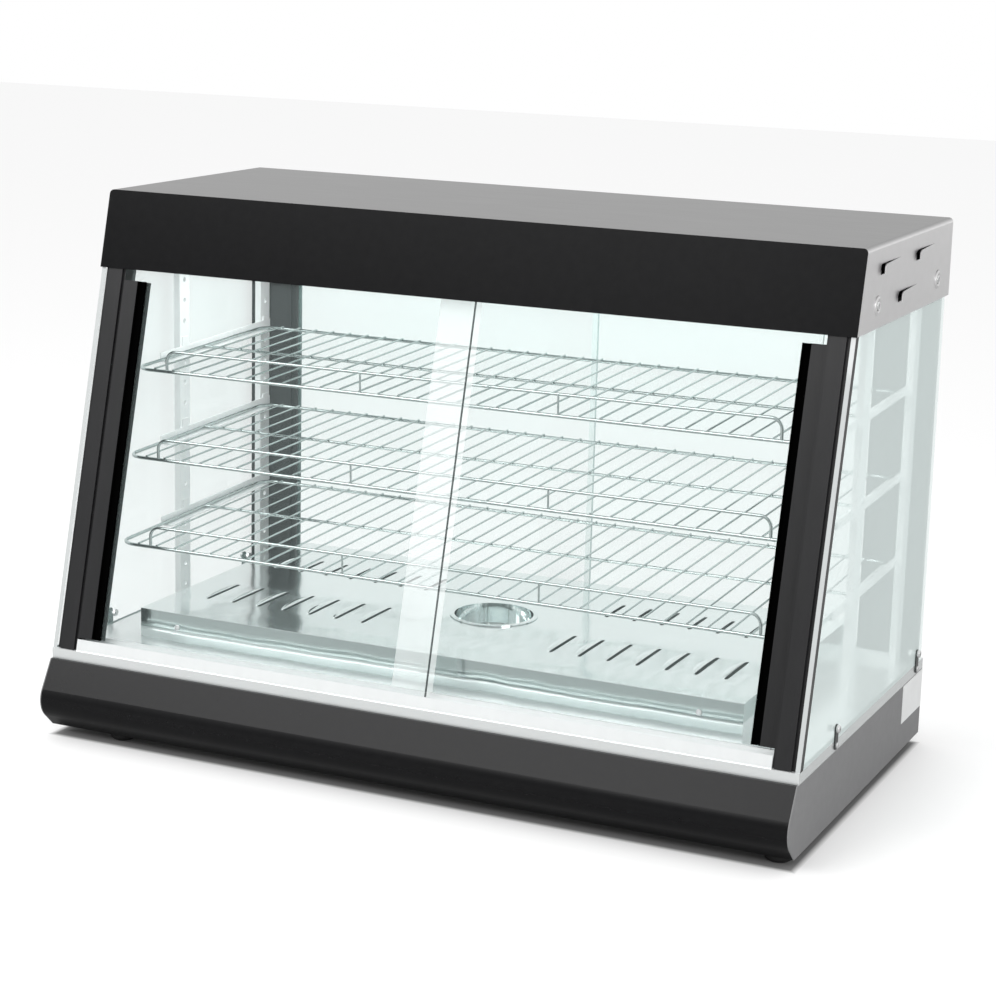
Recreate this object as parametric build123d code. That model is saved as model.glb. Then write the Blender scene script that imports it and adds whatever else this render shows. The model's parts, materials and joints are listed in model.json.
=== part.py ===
"""Heated display case for a counter: leaning glass front, three wire shelves.

Millimetres. +Z is up, the leaning front faces -Y and +X is to the customer's
right. The origin is on the counter, under the middle of the whole case.
"""
from build123d import *
from math import acos, atan2, cos, hypot, radians, sin, tan
import os

os.makedirs("parts", exist_ok=True)

# Whole case
case_width = 900.0
deck_depth = 462.0
base_height = 91.0
window_height = 427.0
hood_height = 87.0
front_lean = radians(14.3)
base_sheet = 1.2
hood_sheet = 1.0

# Base
deck_lip = 12.0
fascia_step = 4.0
fascia_toe = 2.0
fascia_flange = 18.0
nose_reach = 26.0
nose_radius = 26.0
nose_rise = 34.0
foot_height = 12.0
foot_radius = 15.0
foot_edge_round = 5.5
foot_left_inset = 82.0
foot_right_inset = 26.0
foot_front_inset = 24.0
foot_rear_inset = 40.0
label_width = 81.0
label_height = 45.0
label_drop = 13.0
label_thickness = 0.4

# Side glass and its clips
glass_thickness = 5.0
glass_side_gap = 0.5
glass_rear_inset = 10.0
front_clip_setback = 120.0
rear_clip_inset = 31.0
clip_width = 10.0
clip_thickness = 1.5
clip_screw_rise = 13.0
clip_screw_drop = 5.0
clip_overhang = 5.0
nut_thickness = 3.0
nut_radius = 4.5
nut_bore_clearance = 0.05
glass_hole_clearance = 0.6
glass_top_gap = 2.0

# Round-head screws
screw_radius = 2.0
screw_head_radius = 4.5
clip_screw_head_height = 3.5
clip_screw_overrun = 1.0
hood_screw_head_height = 2.2
hood_screw_length = 8.0
screw_hole_clearance = 0.2
small_screw_radius = 1.5
small_screw_head_radius = 3.0
small_screw_head_height = 2.0
small_screw_overrun = 2.0
small_screw_clearance = 0.1
head_round_share = 0.7
recess_depth_share = 0.4
recess_wing_share = 0.55
recess_blade_share = 0.13

# Front posts, tracks and doors, measured inwards from the leaning front plane
post_face = 2.0
post_depth = 24.0
post_width = 25.5
post_groove_depth = 3.0
post_inner_groove = 3.0
post_outer_groove = 4.5
first_door_plane = 8.0
door_pitch = 16.0
groove_width = 7.0
track_wall = 1.5
track_floor = 1.5
track_lip = 9.0
top_groove_depth = 11.0
door_lift_room = 4.0
door_run_gap = 0.3
door_side_gap = 1.5
front_overlap = 24.0
handle_depth = 13.0
front_handle_width = 28.0
handle_grip = 20.0
handle_floor_gap = 2.0
handle_top_gap = 14.0
finger_groove_width = 7.0
finger_groove_depth = 2.8
finger_groove_edge = 1.5

# Rear doors
rear_handle_width = 38.0
rear_overlap = 31.0
rear_outer_plane_inset = 14.0
rear_post_step = 8.0
rear_post_face_inset = 22.0
rear_post_back_inset = 2.0
rear_post_shoulder = 4.0

# Hood
hood_corner = 5.0
ceiling_rise = 13.0
hood_hem = 8.0
hood_flange = 15.0
louvre_length = 75.0
louvre_height = 11.0
louvre_press = 5.0
louvre_corner = 5.0
louvre_places = ((181.0, 55.0), (315.0, 55.0), (252.0, 18.0))
front_hood_screw_setback = 175.0
rear_hood_screw_inset = 54.0
hood_screw_rise = 24.0
ceiling_tab_width = 24.0
ceiling_tab_height = 21.0
vent_length = 34.0
vent_width = 5.0
vent_count = 14
vent_pitch = 14.0

# Lamp in the hood
lamp_length = 549.0
lamp_radius = 8.0
lamp_setback = 200.0
lamp_drop = 13.0
holder_thickness = 8.0
holder_width = 20.0
holder_drop = 1.0
holder_round = 2.0
ballast_size = (180.0, 40.0, 28.0)
ballast_round = 3.0

# Uprights and shelves
upright_width = 22.0
upright_depth = 8.0
upright_sheet = 1.5
front_upright_setback = 240.0
rear_upright_inset = 31.0
door_frame_gap = 1.0
hole_pitch = 25.0
first_hole_rise = 24.5
peg_hole_radius = 3.0
peg_clearance = 0.2
support_holes = (4, 8, 12)
peg_rise = 15.0
peg_length = 3.5
support_sheet = 1.2
support_ledge = 14.0
support_front = 185.0
support_wall_rise = 7.0
ear_width = 12.0
frame_rod_radius = 2.0
wire_radius = 1.1
guard_rod_radius = 1.75
cross_rod_radius = 1.7
wire_overhang = 1.0
wire_pitch = 24.2
weld_sink = 0.5
shelf_side_gap = 1.3
shelf_rest_gap = 0.3
shelf_door_gaps = (18.0, 10.0, 4.0)
shelf_back_gap = 3.0
shelf_corner = 20.0
shelf_lift = 10.0
shelf_tilt = 1.7
cross_rod_setback = 277.0
guard_side_inset = 43.0
guard_height = 24.0
guard_corner = 12.0
guard_post_place = 120.0

# Heated floor and water dish
pan_side_inset = 51.0
pan_front_setback = 60.0
pan_rear_gap = 3.0
pan_height = 44.0
pan_sheet = 1.0
slot_width = 4.0
slot_rows = ((131.0, 203.0), (292.0, 350.0))
slot_first = 117.0
slot_pitch = 34.0
slot_count = 7
pan_screw_inset = 49.0
pan_screw_rise = 27.0
pan_tab_width = 16.0
pan_tab_height = 36.0
pan_screw_radius = 1.8
pan_screw_clearance = 0.2
pan_screw_head_radius = 3.5
pan_screw_head_height = 1.8
pan_screw_head_round = 1.2
pan_screw_length = 6.0
dish_setback = 236.0
dish_radius = 47.0
dish_rim_radius = 51.0
dish_depth = 28.0
dish_wall = 1.2
dish_bevel = 4.0
dish_seat_gap = 0.3
dish_hole_clearance = 1.0

# Heating elements
heater_tube_radius = 4.0
heater_rise = 22.0
heater_inner_end = 95.0
heater_side_room = 37.0
heater_front_setback = 115.0
heater_rear_room = 49.0
heater_bend = 40.0
heater_end_bend = 12.0
heater_tail = 26.0
heater_hole_clearance = 0.5
bracket_place = 210.0
bracket_sheet = 1.5
bracket_width = 20.0
bracket_height = 32.0
bracket_hole_clearance = 0.1

# Controls on the rear of the base
control_rise = 38.0
thermostat_inset = 118.5
thermostat_size = (42.0, 34.0, 42.0)
shaft_radius = 3.0
shaft_clearance = 0.05
shaft_hole_clearance = 2.0
shaft_engagement = 12.0
knob_gap = 0.5
knob_height = 18.0
knob_radius = 19.0
knob_grip_radius = 14.0
knob_skirt = 5.0
knob_edge_round = 2.0
pointer_width = 2.4
pointer_start = 2.0
pointer_rise = 2.0
pointer_inset = 1.0
power_switch_inset = 193.5
lamp_switch_inset = 243.5
bezel_width = 22.0
bezel_height = 30.0
bezel_thickness = 2.0
switch_body_margin = 1.5
switch_body_depth = 18.0
rocker_width = 14.4
rocker_half_height = 10.0
rocker_crown = 8.0
rocker_valley = 6.3
rocker_back = 3.0
rocker_tilt = 10.0
rocker_side_gap = 0.5
rocker_end_gap = 2.3
rocker_pivot_depth = 6.0
rocker_pin_radius = 1.5
rocker_pin_length = 1.3
rocker_pin_clearance = 0.05
lens_insets = (298.5, 328.5)
lens_radius = 5.0
lens_flange = 6.5
lens_depth = 14.0
lens_cap_height = 3.0
lens_cap_round = 1.5
gland_inset = 63.5
gland_radius = 8.0
gland_flange = 12.0
gland_reach = 12.0
gland_bore = 3.6
gland_nut_thickness = 5.0
gland_round = 4.0
terminal_size = (70.0, 28.0, 26.0)
terminal_inset = 118.5
terminal_rear_inset = 62.0
terminal_count = 6
terminal_hole_radius = 3.0

# Planes and faces worked out from the sizes above
deck_z = foot_height + base_height
hood_z = deck_z + window_height
top_z = hood_z + hood_height
ceiling_z = hood_z + ceiling_rise
front_y = (nose_reach - deck_depth - knob_gap - knob_height) / 2
rear_y = front_y + deck_depth
hood_half = case_width / 2
glass_outer = hood_half - hood_sheet - glass_side_gap
glass_inner = glass_outer - glass_thickness
base_half = glass_outer
door_side_face = glass_inner - post_width
frame_inner = door_side_face + door_frame_gap
shelf_half = frame_inner - support_sheet - shelf_side_gap - frame_rod_radius
guard_half_width = shelf_half - guard_side_inset
clip_places = (front_clip_setback, deck_depth - rear_clip_inset)
hood_screw_places = (front_hood_screw_setback, deck_depth - rear_hood_screw_inset)
rear_upright_setback = deck_depth - rear_upright_inset
channel_half = groove_width / 2 + track_wall
inner_rear_plane_inset = rear_outer_plane_inset + door_pitch
pan_half_width = door_side_face - pan_side_inset
pan_rear_setback = deck_depth - inner_rear_plane_inset - channel_half - pan_rear_gap
pan_screw_place = pan_half_width - pan_screw_inset
heater_outer_end = pan_half_width - heater_side_room
heater_rear_setback = pan_rear_setback - heater_rear_room
base_inner = base_half - base_sheet
control_z = foot_height + control_rise
thermostat_place = base_half - thermostat_inset
power_switch_place = base_half - power_switch_inset
lamp_switch_place = base_half - lamp_switch_inset
lens_places = [base_half - inset for inset in lens_insets]
gland_place = gland_inset - base_half
terminal_place = terminal_inset - base_half
far = 2000.0
overrun = 1.0
FRONT = Plane(
    origin=(0, front_y, deck_z),
    x_dir=(1, 0, 0),
    z_dir=(0, sin(front_lean), cos(front_lean)),
)


def climb_at(z, inward=0.0):
    """Distance up the leaning front plane at height z, inward of its face."""
    return (z - deck_z + inward * sin(front_lean)) / cos(front_lean)


def front_at(z, inward=0.0):
    """Y of the leaning front plane at height z, inward of its face."""
    return front_y + (z - deck_z) * tan(front_lean) + inward / cos(front_lean)


def block(x, y, z):
    """Box between three (low, high) pairs."""
    size = [high - low for low, high in (x, y, z)]
    middle = [(low + high) / 2 for low, high in (x, y, z)]
    return Pos(*middle) * Box(*size)


def leaning_block(x, inward, climb):
    """Box along the leaning front: across, inwards from its face and up it."""
    return FRONT * block(x, inward, climb)


def along_x(face, low, high):
    """Face drawn in (y, z), carried from x = low to x = high."""
    return extrude(Plane.YZ.offset(low) * face, amount=high - low, dir=(1, 0, 0))


def along_y(face, low, high):
    """Face drawn in (x, z), carried from y = low to y = high."""
    return extrude(Plane.XZ.offset(-low) * face, amount=high - low, dir=(0, 1, 0))


def rod_x(y, z, low, high, radius):
    """Round rod along X."""
    return Pos((low + high) / 2, y, z) * Rot(0, 90, 0) * Cylinder(radius, high - low)


def rod_y(x, z, low, high, radius):
    """Round rod along Y."""
    return Pos(x, (low + high) / 2, z) * Rot(90, 0, 0) * Cylinder(radius, high - low)


def rod_z(x, y, low, high, radius):
    """Round rod along Z."""
    return Pos(x, y, (low + high) / 2) * Cylinder(radius, high - low)


def bent_rod(points, bends, radius, close=False):
    """Round rod along straight runs joined by tangent arcs."""
    path = FilletPolyline(*points, radius=bends, close=close)
    section = Plane(origin=path @ 0, z_dir=path % 0) * Circle(radius)
    return sweep(section, path=path)


def other_side(shape):
    """The same piece on the left of the case."""
    return mirror(shape, about=Plane.YZ)


def pair(shape):
    """A piece and its mirror image, as two solids."""
    return [shape, other_side(shape)]


def group(shapes):
    """Separate solids kept together in one sub-part."""
    return Compound([solid for shape in shapes for solid in shape.solids()])


def side_screw(face_x, y, z, radius, height, shank_radius, shank_end):
    """Round-head screw driven in from the right, its head outside face_x."""
    head = rod_x(y, z, face_x, face_x + height, radius)
    head = fillet(head.edges().group_by(Axis.X)[-1], min(height, radius) * head_round_share)
    slot_depth = height * recess_depth_share
    slot_x = (face_x + height - slot_depth, face_x + height + slot_depth)
    wing = radius * recess_wing_share
    blade = radius * recess_blade_share
    cross = block(slot_x, (y - wing, y + wing), (z - blade, z + blade))
    cross += block(slot_x, (y - blade, y + blade), (z - wing, z + wing))
    return head - cross + rod_x(y, z, shank_end, face_x, shank_radius)


# Base

def touch_point(point, centre, radius, turn):
    """Point where a line from point touches a circle, to the left or right."""
    across = point[0] - centre[0]
    up = point[1] - centre[1]
    angle = atan2(up, across) + turn * acos(radius / hypot(across, up))
    return (centre[0] + radius * cos(angle), centre[1] + radius * sin(angle))


def nose_face(back_y):
    """Side outline of the base: two lines that touch a round nose."""
    centre = (front_y - nose_reach + nose_radius, foot_height + nose_rise)
    top = (front_y - fascia_step, deck_z - deck_lip)
    toe = (front_y - fascia_toe, foot_height)
    upper = touch_point(top, centre, nose_radius, 1)
    lower = touch_point(toe, centre, nose_radius, -1)
    tip = (front_y - nose_reach, foot_height + nose_rise)
    front = Line(top, upper) + ThreePointArc(upper, tip, lower) + Line(lower, toe)
    back = Polyline(toe, (back_y, foot_height), (back_y, deck_z - deck_lip), top)
    return make_face(front + back)


def base_side():
    """Flat side of the base, on the right."""
    return along_x(nose_face(rear_y), base_inner, base_half)


def base_front_fascia():
    """Bulging black front of the base with a flange at top and bottom."""
    back_y = front_y + fascia_flange
    outer = nose_face(back_y)
    inner = offset(outer, -base_sheet, kind=Kind.INTERSECTION)
    sheet = along_x(outer, -base_inner, base_inner)
    sheet -= along_x(inner, -far, far)
    open_back = (back_y - 2 * base_sheet, back_y + base_sheet)
    heights = (foot_height + base_sheet, deck_z - deck_lip - base_sheet)
    return sheet - block((-far, far), open_back, heights)


def base_bottom_pan():
    """Floor of the base, with rows of vents under the heaters."""
    y = (front_y + fascia_flange, rear_y - base_sheet)
    pan = block((-base_inner, base_inner), y, (foot_height, foot_height + base_sheet))
    vents = []
    for i in range(vent_count):
        x = (i - (vent_count - 1) / 2) * vent_pitch
        slot = Rot(0, 0, 90) * SlotOverall(vent_length, vent_width)
        vents.append(Pos(x, 0, foot_height) * extrude(slot, amount=far, both=True))
    return pan - vents


def rubber_feet():
    """Four feet, where the photograph shows the front two."""
    feet = []
    for x in (-hood_half + foot_left_inset, hood_half - foot_right_inset):
        for y in (front_y + foot_front_inset, rear_y - foot_rear_inset):
            foot = rod_z(x, y, 0, foot_height, foot_radius)
            feet.append(fillet(foot.edges().group_by(Axis.Z)[0], foot_edge_round))
    return group(feet)


def rating_label():
    """Blank plate at the rear of the base's right side."""
    z_high = deck_z - label_drop
    return block(
        (base_half, base_half + label_thickness),
        (rear_y - label_width, rear_y),
        (z_high - label_height, z_high),
    )


def base_rear_panel():
    """Rear of the base with holes for the controls and the mains lead."""
    y = (rear_y - base_sheet, rear_y)
    panel = block((-base_inner, base_inner), y, (foot_height, deck_z - deck_lip))
    panel -= rod_y(thermostat_place, control_z, -far, far, shaft_radius + shaft_hole_clearance)
    for place in (power_switch_place, lamp_switch_place):
        panel -= block(*switch_body_limits(place, far))
    for place in lens_places:
        panel -= rod_y(place, control_z, -far, far, lens_radius)
    return panel - rod_y(gland_place, control_z, -far, far, gland_radius)


def deck_plate():
    """Stainless deck with its turned-down lip, pan tabs and heater holes."""
    x = (-base_half, base_half)
    y = (front_y, rear_y)
    deck = block(x, y, (deck_z - deck_lip, deck_z))
    inside_x = (-base_inner, base_inner)
    inside_y = (front_y + base_sheet, rear_y - base_sheet)
    deck -= block(inside_x, inside_y, (deck_z - far, deck_z - base_sheet))
    tab_y = front_y + pan_front_setback + pan_sheet
    tab_z = (deck_z - base_sheet / 2, deck_z + pan_tab_height)
    for place in (-pan_screw_place, pan_screw_place):
        tab_x = (place - pan_tab_width / 2, place + pan_tab_width / 2)
        deck += block(tab_x, (tab_y, tab_y + base_sheet), tab_z)
        screw_z = deck_z + pan_screw_rise
        hole_y = (tab_y - overrun, tab_y + base_sheet + overrun)
        deck -= rod_y(place, screw_z, *hole_y, pan_screw_radius + pan_screw_clearance)
    radius = heater_tube_radius + heater_hole_clearance
    for place in (heater_front_setback, heater_rear_setback):
        for x_place in (-heater_inner_end, heater_inner_end):
            deck -= rod_z(x_place, front_y + place, 0, deck_z + overrun, radius)
    for place in clip_places:
        hole = small_screw_radius + small_screw_clearance
        hole_z = deck_z - clip_screw_drop
        deck -= pair(rod_x(front_y + place, hole_z, base_inner - overrun, far, hole))
    return deck


# Heated floor

def floor_pan():
    """Raised stainless cover of the heaters, slotted, with a hole for the dish."""
    x = (-pan_half_width, pan_half_width)
    y = (front_y + pan_front_setback, front_y + pan_rear_setback)
    pan = block(x, y, (deck_z, deck_z + pan_height))
    inside_x = (x[0] + pan_sheet, x[1] - pan_sheet)
    inside_y = (y[0] + pan_sheet, y[1] - pan_sheet)
    pan -= block(inside_x, inside_y, (0, deck_z + pan_height - pan_sheet))
    slots = []
    for low, high in slot_rows:
        face = Rot(0, 0, 90) * SlotOverall(high - low, slot_width)
        slot = extrude(face, amount=2 * pan_sheet, both=True)
        y_middle = front_y + (low + high) / 2
        for i in range(slot_count):
            place = slot_first + i * slot_pitch
            slots += pair(Pos(place, y_middle, deck_z + pan_height) * slot)
    pan -= slots
    dish_hole_radius = dish_radius + dish_hole_clearance
    hole_y = front_y + dish_setback
    pan -= rod_z(0, hole_y, deck_z + pan_height / 2, far, dish_hole_radius)
    for place in (-pan_screw_place, pan_screw_place):
        screw_hole = pan_screw_radius + pan_screw_clearance
        hole_span = (y[0] - overrun, y[0] + pan_sheet + overrun)
        pan -= rod_y(place, deck_z + pan_screw_rise, *hole_span, screw_hole)
    return pan


def pan_screws():
    """Two screws through the front of the heated floor into the deck's tabs."""
    screws = []
    face_y = front_y + pan_front_setback
    z = deck_z + pan_screw_rise
    for place in (-pan_screw_place, pan_screw_place):
        head_y = face_y - pan_screw_head_height
        head = rod_y(place, z, head_y, face_y, pan_screw_head_radius)
        head = fillet(head.edges().group_by(Axis.Y)[0], pan_screw_head_round)
        tip_y = face_y + pan_screw_length
        screws.append(head + rod_y(place, z, face_y, tip_y, pan_screw_radius))
    return group(screws)


def water_dish():
    """Round lift-out dish: rim on the floor, bowl through its hole."""
    rim_z = deck_z + pan_height + dish_seat_gap
    rim_top = rim_z + dish_wall
    floor_z = rim_top - dish_depth
    inner = dish_radius - dish_wall
    section = Polygon(
        (0, floor_z),
        (dish_radius - dish_bevel, floor_z),
        (dish_radius, floor_z + dish_bevel),
        (dish_radius, rim_z),
        (dish_rim_radius, rim_z),
        (dish_rim_radius, rim_top),
        (inner, rim_top),
        (inner, floor_z + dish_bevel + dish_wall / 2),
        (dish_radius - dish_bevel - dish_wall / 2, floor_z + dish_wall),
        (0, floor_z + dish_wall),
        align=None,
    )
    return Pos(0, front_y + dish_setback, 0) * revolve(Plane.XZ * section, axis=Axis.Z)


def heating_elements():
    """Two sheathed hairpin elements whose tails go down through the deck."""
    z = deck_z + heater_rise
    low = deck_z - heater_tail
    front = front_y + heater_front_setback
    rear = front_y + heater_rear_setback
    points = [
        (heater_inner_end, front, low),
        (heater_inner_end, front, z),
        (heater_outer_end, front, z),
        (heater_outer_end, rear, z),
        (heater_inner_end, rear, z),
        (heater_inner_end, rear, low),
    ]
    bends = [heater_end_bend, heater_bend, heater_bend, heater_end_bend]
    return group(pair(bent_rod(points, bends, heater_tube_radius)))


def heater_brackets():
    """Four stands that carry the elements above the deck."""
    stands = []
    for setback in (heater_front_setback, heater_rear_setback):
        y = front_y + setback
        x = (bracket_place - bracket_sheet / 2, bracket_place + bracket_sheet / 2)
        span = (y - bracket_width / 2, y + bracket_width / 2)
        stand = block(x, span, (deck_z, deck_z + bracket_height))
        hole = rod_x(y, deck_z + heater_rise, 0, far, heater_tube_radius + bracket_hole_clearance)
        stands += pair(stand - hole)
    return group(stands)


# Controls

def thermostat_body():
    """Thermostat behind the rear panel, its shaft reaching into the knob."""
    width, depth, height = thermostat_size
    y = (rear_y - base_sheet - depth, rear_y - base_sheet)
    x = (thermostat_place - width / 2, thermostat_place + width / 2)
    body = block(x, y, (control_z - height / 2, control_z + height / 2))
    tip = rear_y + knob_gap + shaft_engagement
    return body + rod_y(thermostat_place, control_z, y[1] - overrun, tip, shaft_radius)


def thermostat_knob():
    """Turned knob with a skirt, a raised pointer and a blind bore."""
    base_y = rear_y + knob_gap
    top_y = base_y + knob_height
    knob = rod_y(thermostat_place, control_z, base_y, base_y + knob_skirt, knob_radius)
    grip = rod_y(thermostat_place, control_z, base_y, top_y, knob_grip_radius)
    knob += fillet(grip.edges().group_by(Axis.Y)[-1], knob_edge_round)
    pointer_x = (thermostat_place - pointer_width / 2, thermostat_place + pointer_width / 2)
    pointer_z = (control_z + pointer_start, control_z + knob_radius - pointer_inset)
    knob += block(pointer_x, (base_y, base_y + knob_skirt + pointer_rise), pointer_z)
    bore = shaft_radius + shaft_clearance
    bore_end = base_y + shaft_engagement + knob_gap
    return knob - rod_y(thermostat_place, control_z, base_y - overrun, bore_end, bore)


def switch_body_limits(place, back):
    """Limits of a switch's body where it passes through the rear panel."""
    half_width = bezel_width / 2 - switch_body_margin
    half_height = bezel_height / 2 - switch_body_margin
    x = (place - half_width, place + half_width)
    y = (rear_y - back, rear_y + bezel_thickness / 2)
    return x, y, (control_z - half_height, control_z + half_height)


def switch_housing(place):
    """Bezel and hollow body of a rocker switch, with holes for the pins."""
    x = (place - bezel_width / 2, place + bezel_width / 2)
    z = (control_z - bezel_height / 2, control_z + bezel_height / 2)
    face = rear_y + bezel_thickness
    housing = block(x, (rear_y, face), z) + block(*switch_body_limits(place, switch_body_depth))
    room_half = rocker_width / 2 + rocker_side_gap
    room_x = (place - room_half, place + room_half)
    room_height = rocker_half_height + rocker_end_gap
    room_z = (control_z - room_height, control_z + room_height)
    room_y = (face - rocker_pivot_depth - rocker_crown, face + overrun)
    housing -= block(room_x, room_y, room_z)
    pin_half = rocker_width / 2 + rocker_pin_length + rocker_side_gap
    hole = rocker_pin_radius + rocker_pin_clearance
    pivot_y = face - rocker_pivot_depth
    return housing - rod_x(pivot_y, control_z, place - pin_half, place + pin_half, hole)


def switch_rocker(place):
    """Rocker with a shallow V face and two pivot pins, at rest in OFF."""
    profile = Polygon(
        (-rocker_back, -rocker_half_height),
        (rocker_crown, -rocker_half_height),
        (rocker_valley, 0),
        (rocker_crown, rocker_half_height),
        (-rocker_back, rocker_half_height),
        align=None,
    )
    half = rocker_width / 2
    rocker = along_x(profile, -half, half)
    pin_half = half + rocker_pin_length
    rocker += rod_x(0, 0, -pin_half, pin_half, rocker_pin_radius)
    pivot_y = rear_y + bezel_thickness - rocker_pivot_depth
    return Pos(place, pivot_y, control_z) * Rot(-rocker_tilt, 0, 0) * rocker


def indicator_lamps():
    """Two round lenses, one for power and one for heat."""
    lamps = []
    for place in lens_places:
        lens = rod_y(place, control_z, rear_y - lens_depth, rear_y, lens_radius)
        cap = rod_y(place, control_z, rear_y, rear_y + lens_cap_height, lens_flange)
        lamps.append(lens + fillet(cap.edges().group_by(Axis.Y)[-1], lens_cap_round))
    return group(lamps)


def cable_gland():
    """Gland where the mains lead would enter the base."""
    gland = rod_y(gland_place, control_z, rear_y - gland_reach, rear_y, gland_radius)
    nut_y = rear_y - base_sheet
    gland += rod_y(gland_place, control_z, nut_y - gland_nut_thickness, nut_y, gland_flange)
    collar = rod_y(gland_place, control_z, rear_y, rear_y + gland_reach, gland_flange)
    gland += fillet(collar.edges().group_by(Axis.Y)[-1], gland_round)
    return gland - rod_y(gland_place, control_z, rear_y - far, rear_y + far, gland_bore)


def terminal_block():
    """Connector block on the floor of the base with a row of wire holes."""
    length, width, height = terminal_size
    z = foot_height + base_sheet
    y = rear_y - terminal_rear_inset
    x = (terminal_place - length / 2, terminal_place + length / 2)
    body = block(x, (y - width / 2, y + width / 2), (z, z + height))
    holes = []
    for i in range(terminal_count):
        place = x[0] + length * (i + 0.5) / terminal_count
        holes.append(rod_y(place, z + height / 2, y - width, y + width, terminal_hole_radius))
    return body - holes


# Front frame and doors

def door_plane(index):
    """How far inward the middle of a front door's glass lies."""
    return first_door_plane + index * door_pitch


def groove_floor(index):
    """Climb of a bottom groove's floor, clear of the level deck."""
    lowest = (door_plane(index) + channel_half) * tan(front_lean)
    return lowest + track_floor


def groove_roof(index):
    """Climb of a top groove's roof, under the level ceiling."""
    edge = door_plane(index) - channel_half
    return climb_at(ceiling_z - track_floor, edge)


def front_post():
    """Right post: a bar with a shallow groove down each side of its face."""
    outer = glass_inner
    inner = outer - post_width
    low = post_face + post_groove_depth
    back = post_face + post_depth
    section = Polygon(
        (inner, low),
        (inner + post_inner_groove, low),
        (inner + post_inner_groove, post_face),
        (outer - post_outer_groove, post_face),
        (outer - post_outer_groove, low),
        (outer, low),
        (outer, back),
        (inner, back),
        align=None,
    )
    bar = FRONT * extrude(section, amount=far, both=True, dir=(0, 0, 1))
    return bar & block((0, far), (-far, far), (deck_z, ceiling_z))


def front_bottom_track():
    """Two leaning channels on the deck, one for each front door."""
    x = (-door_side_face, door_side_face)
    track = None
    grooves = []
    for index in (0, 1):
        middle = door_plane(index)
        side = (middle - channel_half, middle + channel_half)
        floor = groove_floor(index)
        channel = leaning_block(x, side, (-track_lip, floor + track_lip))
        track = channel if track is None else track + channel
        room = (middle - groove_width / 2, middle + groove_width / 2)
        grooves.append(leaning_block(x, room, (floor, floor + 2 * track_lip)))
    web_y = (front_at(deck_z, door_plane(0)), front_at(deck_z, door_plane(1)))
    track += block(x, web_y, (deck_z, deck_z + track_floor))
    track = track - grooves
    return track & block((-far, far), (-far, far), (deck_z, hood_z))


def front_top_track():
    """Two leaning channels under the ceiling, hidden behind the hood."""
    x = (-door_side_face, door_side_face)
    track = None
    grooves = []
    for index in (0, 1):
        middle = door_plane(index)
        side = (middle - channel_half, middle + channel_half)
        roof = groove_roof(index)
        low = roof - top_groove_depth
        channel = leaning_block(x, side, (low, roof + top_groove_depth))
        track = channel if track is None else track + channel
        room = (middle - groove_width / 2, middle + groove_width / 2)
        grooves.append(leaning_block(x, room, (low - overrun, roof)))
    web_y = (front_at(ceiling_z, door_plane(0)), front_at(ceiling_z, door_plane(1)))
    track += block(x, web_y, (ceiling_z - track_floor, ceiling_z))
    track = track - grooves
    return track & block((-far, far), (-far, far), (hood_z, ceiling_z))


def door_handle_face(middle, width):
    """Section of a handle on a door's left edge, slotted for the glass."""
    low = -door_side_face + door_side_gap
    bar = Pos(low + width / 2, middle) * Rectangle(width, handle_depth)
    slot_low = low + width - handle_grip
    slot_high = low + width + overrun
    slot_middle = (slot_low + slot_high) / 2
    bar -= Pos(slot_middle, middle) * Rectangle(slot_high - slot_low, glass_thickness)
    groove_x = low + width - finger_groove_edge - finger_groove_width / 2
    for side in (-1, 1):
        groove_y = middle + side * (handle_depth - finger_groove_depth) / 2
        groove = Rectangle(finger_groove_width, finger_groove_depth)
        bar -= Pos(groove_x, groove_y) * groove
    return bar


def front_door_handle(index):
    """Handle on the outer edge of a front door; door 0 is the left one."""
    face = door_handle_face(door_plane(index), front_handle_width)
    low = groove_floor(index) + track_lip + handle_floor_gap
    high = climb_at(hood_z - handle_top_gap, door_plane(index))
    bar = extrude(Plane.XY.offset(low) * face, amount=high - low, dir=(0, 0, 1))
    bar = FRONT * bar
    return bar if index == 0 else other_side(bar)


def front_door_glass(index):
    """Sliding pane of a front door; door 0 is the left one."""
    glued_edge = -door_side_face + door_side_gap + front_handle_width - handle_grip
    inward = (door_plane(index) - glass_thickness / 2, door_plane(index) + glass_thickness / 2)
    climb = (groove_floor(index) + door_run_gap, groove_roof(index) - door_lift_room)
    pane = leaning_block((glued_edge, front_overlap), inward, climb)
    return pane if index == 0 else other_side(pane)


# Rear frame and doors

def rear_plane(index):
    """Y of the middle of a rear door's glass; door 0 is the outer, left one."""
    return rear_y - rear_outer_plane_inset - index * door_pitch


def rear_post():
    """Right rear post, stepped round the rear upright."""
    outer = glass_inner
    inner = frame_inner
    face = rear_y - rear_post_face_inset
    shoulder = face + rear_post_shoulder
    back = rear_y - rear_post_back_inset
    z = (deck_z, ceiling_z)
    post = block((inner, outer), (shoulder, back), z)
    return post + block((inner + rear_post_step, outer), (face, shoulder), z)


def rear_track(lips, web):
    """Two level channels for the rear doors, opening up or down."""
    x = (-door_side_face, door_side_face)
    low = min(lips[0], web[0])
    high = max(lips[1], web[1])
    y = (rear_plane(1) - channel_half, rear_plane(0) + channel_half)
    track = block(x, y, (low, high))
    for index in (0, 1):
        middle = rear_plane(index)
        room = (middle - groove_width / 2, middle + groove_width / 2)
        track -= block(x, room, lips)
    gap = (rear_plane(1) + channel_half, rear_plane(0) - channel_half)
    return track - block(x, gap, lips)


def rear_bottom_track():
    """Rear doors' track on the deck."""
    web = (deck_z, deck_z + track_floor)
    lips = (web[1], web[1] + track_lip)
    return rear_track(lips, web)


def rear_top_track():
    """Rear doors' track under the ceiling."""
    web = (ceiling_z - track_floor, ceiling_z)
    lips = (web[0] - top_groove_depth, web[0])
    return rear_track(lips, web)


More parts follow.
